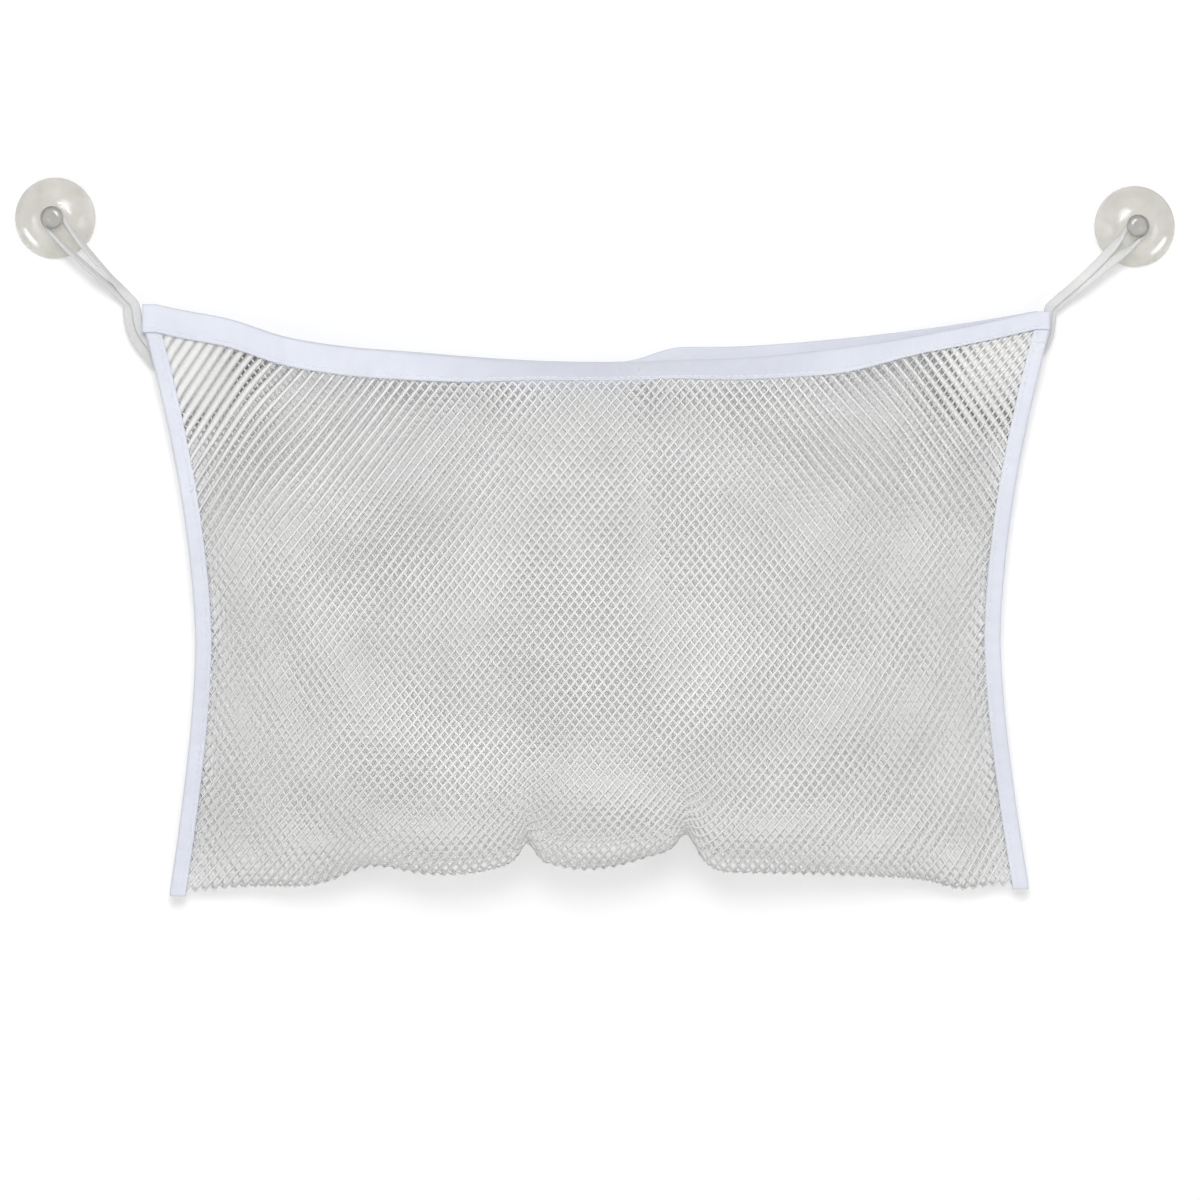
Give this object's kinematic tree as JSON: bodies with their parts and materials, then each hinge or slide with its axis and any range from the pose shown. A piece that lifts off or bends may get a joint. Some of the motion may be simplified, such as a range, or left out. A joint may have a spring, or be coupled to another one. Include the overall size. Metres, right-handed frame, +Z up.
{
  "type": "bath_toy_organizer",
  "caption": "White net bag for bath toys with a taped open mouth and bound sides, hung on a wall by cord loops at its top corners and clear suction cups.",
  "frame": {"origin": "on the wall plane, midway between the centres of the two suction cups", "axes": "+X to the right along the wall, +Y into the wall, +Z up; the bag hangs at negative Y and negative Z"},
  "size_m": [0.578, 0.095, 0.3535],
  "materials": {
    "net": "white knitted polyester net, matte",
    "tape": "white woven polyester tape, matte",
    "cord": "soft white flattened cord, matte",
    "thread": "white sewing thread",
    "cup": "clear soft vinyl, glossy"
  },
  "bodies": {
    "bag": {"front_net": "net", "back_net": "net", "front_mouth_band": "tape", "back_mouth_band": "tape", "front_mouth_seam": "thread", "back_mouth_seam": "thread", "left_side_binding": "tape", "right_side_binding": "tape", "left_side_seam": "thread", "right_side_seam": "thread", "left_loop_tail": "cord", "right_loop_tail": "cord", "left_bar_tack": "thread", "right_bar_tack": "thread"},
    "left_loop": {"left_hanging_loop": "cord"},
    "right_loop": {"right_hanging_loop": "cord"},
    "left_cup": {"left_suction_cup": "cup"},
    "right_cup": {"right_suction_cup": "cup"}
  },
  "joints": [
    {"name": "left_loop_swing", "type": "hinge", "parent": "bag", "child": "left_loop", "pos_m": [-0.236, -0.0108, -0.039], "axis": [0, 1, 0], "range_deg": [-135, 90]},
    {"name": "right_loop_swing", "type": "hinge", "parent": "bag", "child": "right_loop", "pos_m": [0.236, -0.0108, -0.039], "axis": [0, 1, 0], "range_deg": [-90, 135]},
    {"name": "left_cup_turn", "type": "hinge", "parent": "left_loop", "child": "left_cup", "pos_m": [-0.269, -0.0108, 0], "axis": [0, 1, 0], "continuous": true},
    {"name": "right_cup_turn", "type": "hinge", "parent": "right_loop", "child": "right_cup", "pos_m": [0.269, -0.0108, 0], "axis": [0, 1, 0], "continuous": true}
  ]
}
